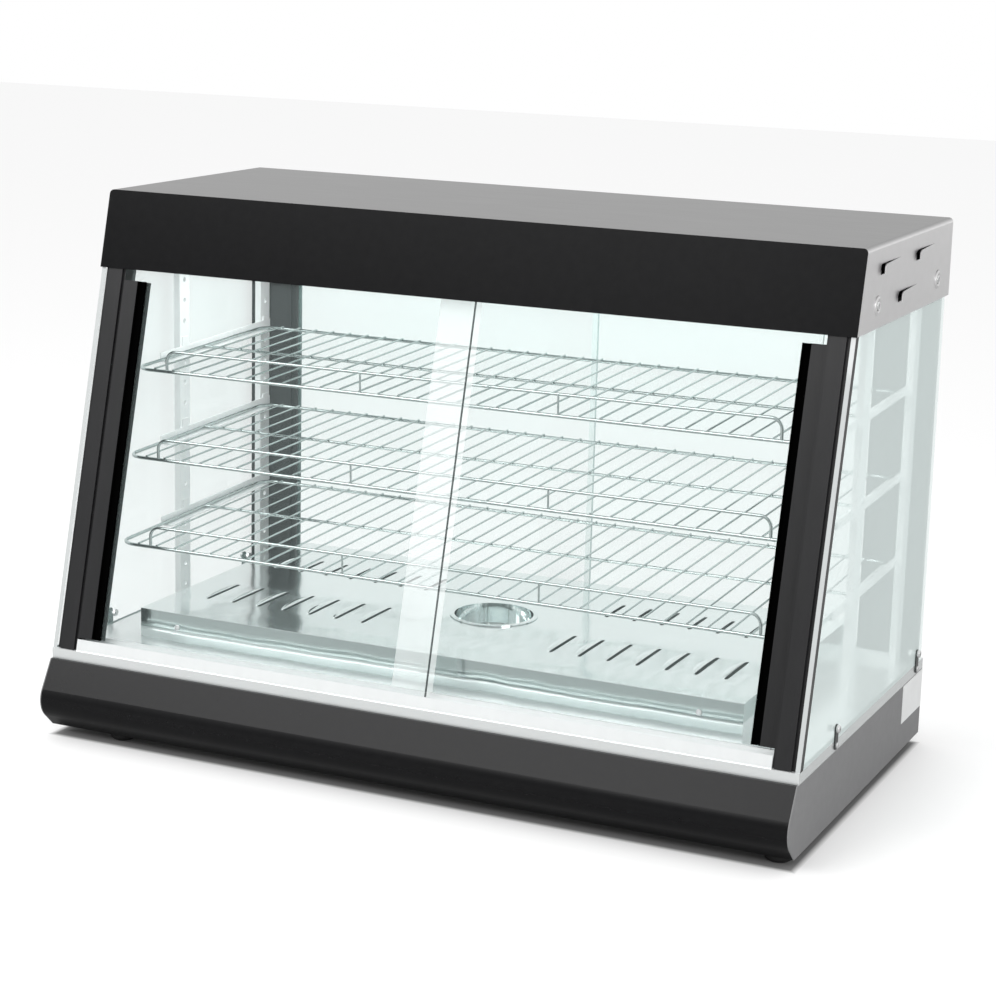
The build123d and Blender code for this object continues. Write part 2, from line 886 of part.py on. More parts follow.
def rear_door_handle(index):
    """Wide handle on the outer edge of a rear door; door 0 is the left one."""
    face = door_handle_face(rear_plane(index), rear_handle_width)
    low = deck_z + track_floor + track_lip + handle_floor_gap
    high = hood_z - handle_top_gap
    bar = extrude(Plane.XY.offset(low) * face, amount=high - low, dir=(0, 0, 1))
    return bar if index == 0 else other_side(bar)


def rear_door_glass(index):
    """Sliding pane of a rear door; door 0 is the left one."""
    glued_edge = -door_side_face + door_side_gap + rear_handle_width - handle_grip
    y = (rear_plane(index) - glass_thickness / 2, rear_plane(index) + glass_thickness / 2)
    low = deck_z + track_floor + door_run_gap
    high = ceiling_z - track_floor - door_lift_room
    pane = block((glued_edge, rear_overlap), y, (low, high))
    return pane if index == 0 else other_side(pane)


# Side glass

def side_glass():
    """Fixed right pane, its front edge leaning with the post."""
    top = ceiling_z - glass_top_gap
    back = rear_y - glass_rear_inset
    outline = Polygon(
        (front_at(deck_z, post_face), deck_z),
        (back, deck_z),
        (back, top),
        (front_at(top, post_face), top),
        align=None,
    )
    pane = along_x(outline, glass_inner, glass_outer)
    for place in clip_places:
        z = deck_z + clip_screw_rise
        hole = screw_radius + glass_hole_clearance
        pane -= rod_x(front_y + place, z, glass_inner - overrun, glass_outer + overrun, hole)
    return pane


def glass_clips():
    """Four round-ended straps that hold the side panes to the deck's lip."""
    low = deck_z - clip_screw_drop - clip_overhang
    high = deck_z + clip_screw_rise + clip_overhang
    clips = []
    for place in clip_places:
        y = front_y + place
        face = Rot(0, 0, 90) * SlotOverall(high - low, clip_width)
        face = Pos(y, (low + high) / 2) * face
        clip = along_x(face, glass_outer, glass_outer + clip_thickness)
        hole = screw_radius + screw_hole_clearance
        small_hole = small_screw_radius + small_screw_clearance
        clip -= rod_x(y, deck_z + clip_screw_rise, 0, far, hole)
        clip -= rod_x(y, deck_z - clip_screw_drop, 0, far, small_hole)
        clips += pair(clip)
    return group(clips)


def clip_screws():
    """A large and a small round-head screw in each clip."""
    face = glass_outer + clip_thickness
    large = (screw_head_radius, clip_screw_head_height, screw_radius)
    small = (small_screw_head_radius, small_screw_head_height, small_screw_radius)
    large_end = glass_inner - nut_thickness - clip_screw_overrun
    small_end = base_inner - small_screw_overrun
    screws = []
    for place in clip_places:
        y = front_y + place
        screws += pair(side_screw(face, y, deck_z + clip_screw_rise, *large, large_end))
        screws += pair(side_screw(face, y, deck_z - clip_screw_drop, *small, small_end))
    return group(screws)


def clip_nuts():
    """Hexagon nuts on the inner face of the side panes."""
    nuts = []
    for place in clip_places:
        face = Pos(front_y + place, deck_z + clip_screw_rise) * RegularPolygon(nut_radius, 6)
        nut = along_x(face, glass_inner - nut_thickness, glass_inner)
        bore = screw_radius + nut_bore_clearance
        nut -= rod_x(front_y + place, deck_z + clip_screw_rise, 0, far, bore)
        nuts += pair(nut)
    return group(nuts)


# Hood

def hood_outline(inset, low):
    """Front view of the hood, inset by a sheet, with rounded top corners."""
    high = top_z - inset
    width = 2 * (hood_half - inset)
    face = Pos(0, (low + high) / 2) * Rectangle(width, high - low)
    return fillet(face.vertices().group_by(Axis.Y)[-1], hood_corner - inset)


def louvre_face(setback, rise, length):
    """Side view of a louvre, its upper corner rounded at the open front end."""
    y = (front_y + setback, front_y + setback + length)
    z = (hood_z + rise, hood_z + rise + louvre_height)
    face = Pos((y[0] + y[1]) / 2, (z[0] + z[1]) / 2) * Rectangle(length, louvre_height)
    corner = face.vertices().group_by(Axis.Y)[-1].sort_by(Axis.X)[0]
    return fillet(corner, louvre_corner)


def louvre_tongue(setback, rise):
    """Strip pressed out of the right side, open at its front end."""
    front = front_y + setback
    back = front + louvre_length
    plan = Polygon(
        (hood_half, back),
        (hood_half - hood_sheet, back),
        (hood_half + louvre_press - hood_sheet, front),
        (hood_half + louvre_press, front),
        align=None,
    )
    z = (hood_z + rise, hood_z + rise + louvre_height)
    strip = extrude(Plane.XY.offset(z[0]) * plan, amount=z[1] - z[0], dir=(0, 0, 1))
    return strip & along_x(louvre_face(setback, rise, louvre_length), 0, far)


def louvre_window(setback, rise):
    """Opening in the right side that a tongue is pressed out of."""
    face = louvre_face(setback, rise, louvre_length - hood_sheet)
    return along_x(face, hood_half - 2 * hood_sheet, hood_half + overrun)


def hood_shell():
    """Top and both sides of the hood in one folded sheet, with louvres."""
    shell = along_y(hood_outline(0, hood_z), front_y, rear_y)
    hollow = hood_outline(hood_sheet, hood_z - overrun)
    shell -= along_y(hollow, front_y - overrun, rear_y + overrun)
    shell &= leaning_block((-far, far), (hood_sheet, far), (-far, far))
    screw_z = hood_z + hood_screw_rise
    for setback, rise in louvre_places:
        shell -= pair(louvre_window(setback, rise))
        shell += pair(louvre_tongue(setback, rise))
    for place in hood_screw_places:
        hole = screw_radius + screw_hole_clearance
        hole_x = (hood_half - 2 * hood_sheet, hood_half + overrun)
        shell -= pair(rod_x(front_y + place, screw_z, *hole_x, hole))
    return shell


def hood_front_fascia():
    """Black leaning front of the hood, hemmed below and flanged above."""
    outline = along_y(hood_outline(0, hood_z), front_y, rear_y)
    face = outline & leaning_block((-far, far), (0, hood_sheet), (-far, far))
    inner_half = hood_half - hood_sheet
    climb = (climb_at(hood_z), climb_at(hood_z) + hood_hem)
    hem = leaning_block((-inner_half, inner_half), (hood_sheet, 2 * hood_sheet), climb)
    face += hem & block((-far, far), (-far, far), (hood_z, top_z))
    flange_high = top_z - hood_sheet
    flange_y = (front_at(flange_high, hood_sheet / 2), front_at(flange_high) + hood_flange)
    flange_half = hood_half - hood_corner
    flange_z = (flange_high - hood_sheet, flange_high)
    return face + block((-flange_half, flange_half), flange_y, flange_z)


def hood_rear_panel():
    """Back of the hood with two groups of vents."""
    panel = along_y(hood_outline(hood_sheet, hood_z), rear_y - hood_sheet, rear_y)
    slots = []
    slot = Rot(0, 0, 90) * SlotOverall(vent_length, vent_width)
    for side in (-1, 1):
        for i in range(vent_count):
            x = side * hood_half / 2 + (i - (vent_count - 1) / 2) * vent_pitch
            z = (ceiling_z + top_z) / 2
            slots.append(along_y(Pos(x, z) * slot, rear_y - 2 * hood_sheet, rear_y + overrun))
    return panel - slots


def hood_ceiling():
    """Plate over the shelves with up-turned tabs for the hood screws."""
    half = hood_half - hood_sheet
    high = ceiling_z + hood_sheet
    y = (front_at(high, hood_sheet), rear_y - hood_sheet)
    plate = block((-half, half), y, (ceiling_z, high))
    for place in hood_screw_places:
        tab_y = front_y + place
        span = (tab_y - ceiling_tab_width / 2, tab_y + ceiling_tab_width / 2)
        tab_z = (ceiling_z + hood_sheet / 2, ceiling_z + ceiling_tab_height)
        tab = block((half - hood_sheet, half), span, tab_z)
        hole = screw_radius + screw_hole_clearance
        tab -= rod_x(tab_y, hood_z + hood_screw_rise, 0, far, hole)
        plate += pair(tab)
    return plate


def hood_screws():
    """Two round-head screws in each side of the hood."""
    z = hood_z + hood_screw_rise
    sizes = (screw_head_radius, hood_screw_head_height, screw_radius)
    screws = []
    for place in hood_screw_places:
        end = hood_half - hood_screw_length
        screws += pair(side_screw(hood_half, front_y + place, z, *sizes, end))
    return group(screws)


def lamp_tube():
    """Glass lamp across the front of the ceiling."""
    half = lamp_length / 2
    y = front_y + lamp_setback
    return rod_x(y, ceiling_z - lamp_drop, -half, half, lamp_radius)


def lamp_holders():
    """End sockets that carry the lamp from the ceiling."""
    y = front_y + lamp_setback
    low = ceiling_z - lamp_drop - lamp_radius - holder_drop
    x = (lamp_length / 2, lamp_length / 2 + holder_thickness)
    span = (y - holder_width / 2, y + holder_width / 2)
    holder = block(x, span, (low, ceiling_z))
    return group(pair(fillet(holder.edges().filter_by(Axis.X), holder_round)))


def lamp_ballast():
    """Ballast on top of the ceiling plate."""
    length, width, height = ballast_size
    y = front_y + lamp_setback
    z = ceiling_z + hood_sheet
    body = block((-length / 2, length / 2), (y - width / 2, y + width / 2), (z, z + height))
    return fillet(body.edges().filter_by(Axis.Z), ballast_round)


# Uprights and shelves

def upright(setback):
    """Right perforated channel from the deck to the ceiling."""
    inner = frame_inner
    outer = inner + upright_depth
    y = front_y + setback
    span = (y - upright_width / 2, y + upright_width / 2)
    strip = block((inner, outer), span, (deck_z, ceiling_z))
    hollow_span = (span[0] + upright_sheet, span[1] - upright_sheet)
    strip -= block((inner + upright_sheet, outer), hollow_span, (deck_z, ceiling_z))
    holes = []
    z = deck_z + first_hole_rise
    while z < ceiling_z - 2 * peg_hole_radius:
        holes.append(rod_x(y, z, inner - overrun, inner + 2 * upright_sheet, peg_hole_radius))
        z += hole_pitch
    return strip - holes


def uprights():
    """Front and rear upright of the right side."""
    return [upright(front_upright_setback), upright(rear_upright_setback)]


def shelf_level(tier):
    """Height of a shelf's frame rods, set by the holes its supports hang in."""
    hole_z = deck_z + first_hole_rise + support_holes[tier] * hole_pitch
    return hole_z - peg_rise


def shelf_front(tier):
    """Y of a shelf's front rod, clear of the doors when the shelf is lifted."""
    handle_back = door_plane(1) + handle_depth / 2
    guard_top = shelf_level(tier) + guard_height + guard_rod_radius + shelf_lift
    return front_at(guard_top, handle_back) + shelf_door_gaps[tier] + frame_rod_radius


def tilted(tier, shape):
    """Shape turned about its shelf's front rod, so that its rear stands higher."""
    front = shelf_front(tier)
    level = shelf_level(tier)
    return Pos(0, front, level) * Rot(shelf_tilt, 0, 0) * Pos(0, -front, -level) * shape


def shelf_support(tier):
    """Right angle bracket under a shelf, pegged into both uprights."""
    level = shelf_level(tier)
    outer = frame_inner
    rest = level - frame_rod_radius - shelf_rest_gap
    rear = front_y + rear_upright_setback + upright_width / 2
    y = (front_y + support_front, rear)
    wall_x = (outer - support_sheet, outer)
    bracket = block(wall_x, y, (rest - support_sheet, level + support_wall_rise))
    ledge_y = (y[0], rear_plane(1) - handle_depth / 2 - shelf_back_gap)
    bracket += block((outer - support_ledge, outer), ledge_y, (rest - support_sheet, rest))
    bracket = tilted(tier, bracket)
    for setback in (front_upright_setback, rear_upright_setback):
        peg_y = front_y + setback
        peg_z = level + peg_rise
        span = (peg_y - ear_width / 2, peg_y + ear_width / 2)
        wall_z = level + (peg_y - shelf_front(tier)) * tan(radians(shelf_tilt))
        bracket += block(wall_x, span, (wall_z, peg_z + ear_width / 2))
        peg_radius = peg_hole_radius - peg_clearance
        bracket += rod_x(peg_y, peg_z, outer - support_sheet, outer + peg_length, peg_radius)
    return bracket


def wire_shelf(tier):
    """Welded rack: frame, cross rod, front-to-back wires and a front guard."""
    level = shelf_level(tier)
    half = shelf_half
    front = shelf_front(tier)
    rear_face = rear_plane(1) - handle_depth / 2
    rear = rear_face - shelf_back_gap - frame_rod_radius
    corners = [(-half, front), (half, front), (half, rear), (-half, rear)]
    frame = bent_rod([(x, y, level) for x, y in corners], shelf_corner, frame_rod_radius, True)
    wire_z = level + frame_rod_radius + wire_radius - weld_sink
    rods = [rod_x(front_y + cross_rod_setback, level, -half, half, cross_rod_radius)]
    ends = (front - wire_overhang, rear + wire_overhang)
    count = int((half - shelf_corner / 2) / wire_pitch)
    for i in range(-count, count + 1):
        rods.append(rod_y(i * wire_pitch, wire_z, *ends, wire_radius))
    guard_z = level + guard_height
    guard_points = [
        (-guard_half_width, front, level),
        (-guard_half_width, front, guard_z),
        (guard_half_width, front, guard_z),
        (guard_half_width, front, level),
    ]
    rods.append(bent_rod(guard_points, guard_corner, guard_rod_radius))
    for place in (-guard_post_place, guard_post_place):
        rods.append(rod_z(place, front, level, guard_z, wire_radius))
    return tilted(tier, frame + rods)


right_side = {
    "base_side": base_side(),
    "front_post": front_post(),
    "rear_post": rear_post(),
    "side_glass": side_glass(),
    "uprights": group(uprights()),
}

pieces = {
    "base_bottom_pan": base_bottom_pan(),
    "base_front_fascia": base_front_fascia(),
    "base_rear_panel": base_rear_panel(),
    "rubber_feet": rubber_feet(),
    "rating_label": rating_label(),
    "deck_plate": deck_plate(),
    "floor_pan": floor_pan(),
    "pan_screws": pan_screws(),
    "water_dish": water_dish(),
    "heating_elements": heating_elements(),
    "heater_brackets": heater_brackets(),
    "terminal_block": terminal_block(),
    "cable_gland": cable_gland(),
    "thermostat_body": thermostat_body(),
    "thermostat_knob": thermostat_knob(),
    "power_switch_housing": switch_housing(power_switch_place),
    "power_switch_rocker": switch_rocker(power_switch_place),
    "lamp_switch_housing": switch_housing(lamp_switch_place),
    "lamp_switch_rocker": switch_rocker(lamp_switch_place),
    "indicator_lamps": indicator_lamps(),
    "front_bottom_track": front_bottom_track(),
    "front_top_track": front_top_track(),
    "rear_bottom_track": rear_bottom_track(),
    "rear_top_track": rear_top_track(),
    "glass_clips": glass_clips(),
    "clip_screws": clip_screws(),
    "clip_nuts": clip_nuts(),
    "hood_shell": hood_shell(),
    "hood_front_fascia": hood_front_fascia(),
    "hood_rear_panel": hood_rear_panel(),
    "hood_ceiling": hood_ceiling(),
    "hood_screws": hood_screws(),
    "lamp_tube": lamp_tube(),
    "lamp_holders": lamp_holders(),
    "lamp_ballast": lamp_ballast(),
}

for name, piece in right_side.items():
    pieces[name + "_right"] = piece
    pieces[name + "_left"] = other_side(piece)

for index, side in enumerate(("left", "right")):
    pieces[f"front_{side}_door_glass"] = front_door_glass(index)
    pieces[f"front_{side}_door_handle"] = front_door_handle(index)
    pieces[f"rear_{side}_door_glass"] = rear_door_glass(index)
    pieces[f"rear_{side}_door_handle"] = rear_door_handle(index)

for tier, level_name in enumerate(("bottom", "middle", "top")):
    pieces[f"{level_name}_shelf"] = wire_shelf(tier)
    pieces[f"{level_name}_shelf_supports"] = group(pair(shelf_support(tier)))

for name, piece in pieces.items():
    export_step(piece, f"parts/{name}.step")
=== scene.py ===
"""Looks of a heated display case: finishes, small formed details, light and camera.

Everything is in metres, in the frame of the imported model: +Z is up, the leaning
front faces -Y, and the origin is on the counter under the middle of the case.
"""
import json
from math import cos, radians, sin

import bmesh
import bpy
import numpy as np
from mathutils import Matrix, Vector


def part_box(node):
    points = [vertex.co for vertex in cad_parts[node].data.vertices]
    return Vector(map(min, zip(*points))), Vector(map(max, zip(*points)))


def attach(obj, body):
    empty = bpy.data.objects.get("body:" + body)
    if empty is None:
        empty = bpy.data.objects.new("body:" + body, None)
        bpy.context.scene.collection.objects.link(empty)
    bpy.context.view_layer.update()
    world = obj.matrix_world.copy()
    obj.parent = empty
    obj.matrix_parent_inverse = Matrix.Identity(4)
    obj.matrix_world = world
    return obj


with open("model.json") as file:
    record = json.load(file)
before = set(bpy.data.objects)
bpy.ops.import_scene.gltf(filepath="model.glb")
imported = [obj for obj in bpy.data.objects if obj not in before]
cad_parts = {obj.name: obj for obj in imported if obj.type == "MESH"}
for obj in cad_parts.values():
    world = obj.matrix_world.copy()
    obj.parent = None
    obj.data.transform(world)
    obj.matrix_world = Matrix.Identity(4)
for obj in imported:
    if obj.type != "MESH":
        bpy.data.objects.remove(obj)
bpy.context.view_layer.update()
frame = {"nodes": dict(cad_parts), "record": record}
nodes = frame["nodes"]

# The camera, worked out from the straight edges of the photograph
camera_azimuth = radians(24.56)
camera_elevation = radians(13.03)
camera_roll = radians(1.46)
camera_distance = 2.7716
camera_target = (0.0177, -0.0273, 0.2985)
camera_lens = 88.98
camera_sensor = 36.0
camera_reach = 100.0

# The side panes' leaning front edge: its run per unit of height, where it meets the counter's
# plane, the width of the black seal behind it and how far before it the seal's mask starts
front_slope = 0.2549
lean_foot = -0.2515
seal_width = 0.010
seal_reach = 0.02

# The matt black strip down the inner side of each front handle
handle_strip_width = 0.010
handle_strip_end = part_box("front_right_door_handle")[0].x + handle_strip_width

# The band where two doors' glass laps, along the case's length: it starts before the right
# door's glass, and at the front it reaches a little past the left door's. At the front it holds
# a painted white reflection on the right door's glass
lap_start = -0.05
front_lap_reach = 0.0015
front_lap_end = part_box("front_left_door_glass")[1].x + front_lap_reach
rear_lap_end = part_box("rear_left_door_glass")[1].x

# The raised floor's top, and the painted teal shade in a band round its walls: its depth,
# and its gap to the top
pan_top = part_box("floor_pan")[1].z
pan_painted_shade_depth = 0.021
pan_painted_shade_gap = 0.0005

# Its slots, whose left edges are pressed up
slot_runs = ((-0.09625, -0.02425), (0.06475, 0.12275))
slot_places = [sign * (0.117 + 0.034 * i) for i in range(7) for sign in (-1, 1)]
slot_half_width = 0.002
scoop_width = 0.0095
scoop_height = 0.0026
scoop_sink = 0.0004
scoop_taper = 0.6

# The hood's sides, the front and the rear screw in each, and the rims round them
hood_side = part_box("hood_front_fascia")[1].x
screws_low, screws_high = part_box("hood_screws")
screw_radius = (screws_high.z - screws_low.z) / 2
hood_screw_places = (screws_low.y + screw_radius, screws_high.y - screw_radius)
hood_screw_height = screws_low.z + screw_radius
rim_radius = 0.0078
rim_width = 0.0028
rim_rise = 0.0018
rim_sink = 0.0003

# Points of a formed piece that are closer than this are one point
merge_distance = 1e-7

# The sky's brightness, and the stretch over which it rises from low to high
sky_low = 0.70
mirrored_sky_low = 0.40
sky_high = 1.0
sky_fade = (-0.9, 0.2)

# The floor: half its width, its colour, the share of it left in the painted shadow under the
# case and the share seen in mirrors, its glow for the camera near the case and far from it, the
# share of the glow left in the painted shadow, the distances between which the glow changes,
# and the case's footprint, where the shadow is painted, and its soft edge
floor_half = 9.0
floor_albedo = 0.80
floor_painted_shadow_share = 0.33
floor_mirrored_share = 0.55
floor_near_lift = 0.22
floor_far_lift = 0.15
floor_shadow_glow_share = 0.02
floor_fade = (0.5, 2.2)
footprint_half_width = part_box("base_side_right")[1].x
footprint_half_depth = 0.2313
footprint_blur = 0.004

lamps = {
    "key": dict(
        place=(-1.25, -2.2, 2.05), target=(0, -0.25, 0.1), size=(2.4, 1.4), power=42,
    ),
    "right_side": dict(
        place=(2.6, -1.6, 1.0), target=(0.45, 0, 0.3), size=(1.4, 1.2), power=12,
    ),
    "inside": dict(
        place=(0, 0.06, 0.53), target=(0, 0.06, 0), size=(0.78, 0.24), power=2.6, mirrored=False,
    ),
}

# The roughness of every noise
noise_roughness = 0.55

# Values that all coats share: the detail of their clouds, grain and slow relief, the scale of
# the clouds over that of the grain, the roughness of a clear coat and the black of a band
cloud_detail = 3.0
grain_detail = 5.0
wave_detail = 1.0
cloud_share = 0.12
clear_coat_roughness = 0.1
band_black = (0.001, 0.001, 0.001)

# Values that all panes share: the part of a face's normal along an axis past which it counts
# as facing it, the scale and detail of two noises, the spread of the cover and the tint over
# the glass, what a slanting view adds to the cover as a painted pale reflection, and the
# glass's gloss and index
facing_limit = 0.7
pane_clouds = (5.0, 3.0)
pane_smears = (9.0, 2.0)
cover_spread = 0.15
tint_gain = 1.03
grazing_blend = 0.2
grazing_reflection = 0.35
slant_blend = 0.5
slant_power = 2.0
pane_gloss = (0.02, 0.05)
glass_index = 1.52


# Shader helpers

def new_material(name):
    """Empty node material with its output node."""
    material = bpy.data.materials.new(name)
    material.use_nodes = True
    tree = material.node_tree
    tree.nodes.clear()
    output = tree.nodes.new("ShaderNodeOutputMaterial")
    return material, tree, output


def feed(tree, socket, value):
    """Link a value to a socket, or set the socket to a number."""
    if isinstance(value, (int, float)):
        socket.default_value = value
    else:
        tree.links.new(value, socket)


def math_node(tree, operation, first, second=None, clamp=False):
    """One Math node; each input is a socket or a number."""
    node = tree.nodes.new("ShaderNodeMath")
    node.operation = operation
    node.use_clamp = clamp
    feed(tree, node.inputs[0], first)
    if second is not None:
        feed(tree, node.inputs[1], second)
    return node.outputs[0]


def ranged(tree, value, low, high, span=(0.0, 1.0), smooth=False):
    """A value spread from low to high over its span; low and high are sockets or numbers."""
    node = tree.nodes.new("ShaderNodeMapRange")
    if smooth:
        node.interpolation_type = "SMOOTHSTEP"
    feed(tree, node.inputs["Value"], value)
    feed(tree, node.inputs["From Min"], span[0])
    feed(tree, node.inputs["From Max"], span[1])
    feed(tree, node.inputs["To Min"], low)
    feed(tree, node.inputs["To Max"], high)
    return node.outputs["Result"]


def mixed(tree, factor, first, second, blend="MIX"):
    """Colour from first to second by a 0 to 1 factor; each is a socket or a colour."""
    mix = tree.nodes.new("ShaderNodeMix")
    mix.data_type = "RGBA"
    mix.blend_type = blend
    tree.links.new(factor, mix.inputs["Factor"])
    for name, colour in (("A", first), ("B", second)):
        if isinstance(colour, tuple):
            mix.inputs[name].default_value = (*colour, 1)
        else:
            tree.links.new(colour, mix.inputs[name])
    return mix.outputs["Result"]


def added(tree, cover, mask, share):
    """Cover with a share of a mask added."""
    return math_node(tree, "ADD", cover, math_node(tree, "MULTIPLY", mask, share))


def coordinate_parts(tree, kind):
    """The x, y and z sockets of one kind of texture coordinate."""
    coordinates = tree.nodes.new("ShaderNodeTexCoord")
    split = tree.nodes.new("ShaderNodeSeparateXYZ")
    tree.links.new(coordinates.outputs[kind], split.inputs["Vector"])
    return split.outputs


def object_noise(tree, scale, detail, stretch=(1, 1, 1)):
    """Noise over the piece's own coordinates, stretched along an axis."""
    coordinates = tree.nodes.new("ShaderNodeTexCoord")
    mapping = tree.nodes.new("ShaderNodeMapping")
    mapping.inputs["Scale"].default_value = stretch
    tree.links.new(coordinates.outputs["Object"], mapping.inputs["Vector"])
    noise = tree.nodes.new("ShaderNodeTexNoise")
    noise.inputs["Scale"].default_value = scale
    noise.inputs["Detail"].default_value = detail
    noise.inputs["Roughness"].default_value = noise_roughness
    tree.links.new(mapping.outputs["Vector"], noise.inputs["Vector"])
    return noise.outputs["Fac"]


def bumped(tree, height, depth, strength, under=None):
    """Normal raised by a height pattern that is depth metres deep, over another relief."""
    bump = tree.nodes.new("ShaderNodeBump")
    bump.inputs["Distance"].default_value = depth
    bump.inputs["Strength"].default_value = strength
    tree.links.new(height, bump.inputs["Height"])
    if under is not None:
        tree.links.new(under, bump.inputs["Normal"])
    return bump.outputs["Normal"]


def facing_mask(tree, normal, axis, sign):
    """1 on faces that look along one axis, towards its high or low end."""
    outward = math_node(tree, "MULTIPLY", normal[axis], sign)
    return math_node(tree, "GREATER_THAN", outward, facing_limit)


def strip_mask(tree, weights, low, high):
    """1 where a weighted sum of the object's x, y and z lies between low and high."""
    coordinates = tree.nodes.new("ShaderNodeTexCoord")
    reach = tree.nodes.new("ShaderNodeVectorMath")
    reach.operation = "DOT_PRODUCT"
    tree.links.new(coordinates.outputs["Object"], reach.inputs[0])
    reach.inputs[1].default_value = weights
    above = math_node(tree, "GREATER_THAN", reach.outputs["Value"], low)
    below = math_node(tree, "LESS_THAN", reach.outputs["Value"], high)
    return math_node(tree, "MULTIPLY", above, below)


def coated(name, dark, light, gloss, grain, bump, metal=0.0, stretch=(1, 1, 1), coat=0.0,
           specular=0.5, wave=None, top_painted_shade=None, band=None, painted_shade_strip=None):
    """Finish with a soft two-tone colour, a varied gloss and a fine relief.

    wave is (scale, depth) of a slow relief, top_painted_shade is the share of
    colour left as painted shade on faces that look up, band is (weights, low,
    high) of a strip that is matt black, and painted_shade_strip is (weights,
    low, high, shares) of a strip darkened and tinted as painted shade.
    """
    material, tree, output = new_material(name)
    shader = tree.nodes.new("ShaderNodeBsdfPrincipled")
    cloudy = object_noise(tree, grain * cloud_share, cloud_detail, stretch)
    fine = object_noise(tree, grain, grain_detail, stretch)
    colour = mixed(tree, cloudy, dark, light)
    # Faces that look up get a painted shade: their colour is multiplied down by a share
    if top_painted_shade is not None:
        upward = math_node(tree, "MAXIMUM", coordinate_parts(tree, "Normal")["Z"], 0.0)
        colour = mixed(tree, upward, colour, (top_painted_shade, top_painted_shade, top_painted_shade), "MULTIPLY")
    # A strip darkened and tinted teal as painted shade
    if painted_shade_strip is not None:
        *strip, shares = painted_shade_strip
        colour = mixed(tree, strip_mask(tree, *strip), colour, shares, "MULTIPLY")
    shader.inputs["Specular IOR Level"].default_value = specular
    if band is not None:
        mask = strip_mask(tree, *band)
        colour = mixed(tree, mask, colour, band_black)
        outside = math_node(tree, "SUBTRACT", 1.0, mask)
        shine = math_node(tree, "MULTIPLY", outside, specular)
        tree.links.new(shine, shader.inputs["Specular IOR Level"])
    tree.links.new(colour, shader.inputs["Base Color"])
    tree.links.new(ranged(tree, fine, *gloss), shader.inputs["Roughness"])
    slow = None
    if wave is not None:
        scale, depth = wave
        slow = bumped(tree, object_noise(tree, scale, wave_detail), depth, 1.0)
    tree.links.new(bumped(tree, fine, *bump, under=slow), shader.inputs["Normal"])
    shader.inputs["Metallic"].default_value = metal
    shader.inputs["Coat Weight"].default_value = coat
    shader.inputs["Coat Roughness"].default_value = clear_coat_roughness
    tree.links.new(shader.outputs["BSDF"], output.inputs["Surface"])
    return material


def pane(name, tint, body, edges, strips=(), slant_reflection=0.0):
    """Clear glass: faint over its faces, painted pale at a slant as reflection, denser in cut
    edges.

    edges lists (axis, sign, cover, colour) for the cut edges that show.
    strips lists (weights, low, high, cover, colour) for bands over the faces.
    """
    material, tree, output = new_material(name)
    shader = tree.nodes.new("ShaderNodeBsdfPrincipled")
    normal = coordinate_parts(tree, "Normal")
    cloudy = object_noise(tree, *pane_clouds)
    cover = ranged(tree, cloudy, body * (1 - cover_spread), body * (1 + cover_spread))
    # A slanting view adds pale cover to every pane: a painted reflection
    grazing = tree.nodes.new("ShaderNodeLayerWeight")
    grazing.inputs["Blend"].default_value = grazing_blend
    cover = added(tree, cover, grazing.outputs["Fresnel"], grazing_reflection)
    if slant_reflection:
        slant = tree.nodes.new("ShaderNodeLayerWeight")
        slant.inputs["Blend"].default_value = slant_blend
        slanting = math_node(tree, "POWER", slant.outputs["Facing"], slant_power)
        cover = added(tree, cover, slanting, slant_reflection)
    colour = mixed(tree, cloudy, tint, tuple(min(1.0, tint_gain * part) for part in tint))
    for weights, low, high, strip_cover, strip_colour in strips:
        mask = strip_mask(tree, weights, low, high)
        cover = added(tree, cover, mask, strip_cover)
        colour = mixed(tree, mask, colour, strip_colour)
    for axis, sign, edge_cover, edge_colour in edges:
        mask = facing_mask(tree, normal, axis, sign)
        cover = added(tree, cover, mask, edge_cover)
        colour = mixed(tree, mask, colour, edge_colour)
    geometry = tree.nodes.new("ShaderNodeNewGeometry")
    outer = math_node(tree, "SUBTRACT", 1.0, geometry.outputs["Backfacing"])
    tree.links.new(math_node(tree, "MULTIPLY", cover, outer, clamp=True), shader.inputs["Alpha"])
    tree.links.new(colour, shader.inputs["Base Color"])
    gloss = ranged(tree, object_noise(tree, *pane_smears), *pane_gloss)
    tree.links.new(gloss, shader.inputs["Roughness"])
    shader.inputs["IOR"].default_value = glass_index
    tree.links.new(shader.outputs["BSDF"], output.inputs["Surface"])
    return material


# Finishes

# Stretches of a grain, for lines along the case's length or up its height
along_length = (0.02, 1.0, 1.0)
along_height = (1.0, 1.0, 0.02)

# Tints, covers, cut edges and bands of the glass, as a pane takes them
rear_tint = (0.36, 0.58, 0.55)
rear_body = 0.24
front_tint = (0.62, 0.76, 0.75)
front_body = 0.075
plain_edge = (0, 1, 0.45, (0.30, 0.40, 0.39))
dark_edge = (0, 1, 0.85, (0.05, 0.06, 0.06))
side_edges = [
    (1, 1, 0.35, (0.40, 0.60, 0.58)),
    (1, -1, 0.75, (0.52, 0.54, 0.54)),
    (2, -1, 0.5, (0.10, 0.14, 0.14)),
]
side_seal = (
    (0.0, 1.0, -front_slope), lean_foot - seal_reach, lean_foot + seal_width,
    0.9, (0.004, 0.004, 0.004),
)
# Where the front doors lap, the right door's glass gets a painted white reflection
front_lap_painted_reflection = ((1.0, 0.0, 0.0), lap_start, front_lap_end, 0.34, (0.93, 0.96, 0.955))
rear_lap = ((1.0, 0.0, 0.0), lap_start, rear_lap_end, -rear_body, rear_tint)
# The band round the raised floor's walls, darkened and tinted teal as painted shade
pan_wall_painted_shade = (
    (0.0, 0.0, 1.0), pan_top - pan_painted_shade_depth, pan_top - pan_painted_shade_gap, (0.61, 0.67, 0.66),
)

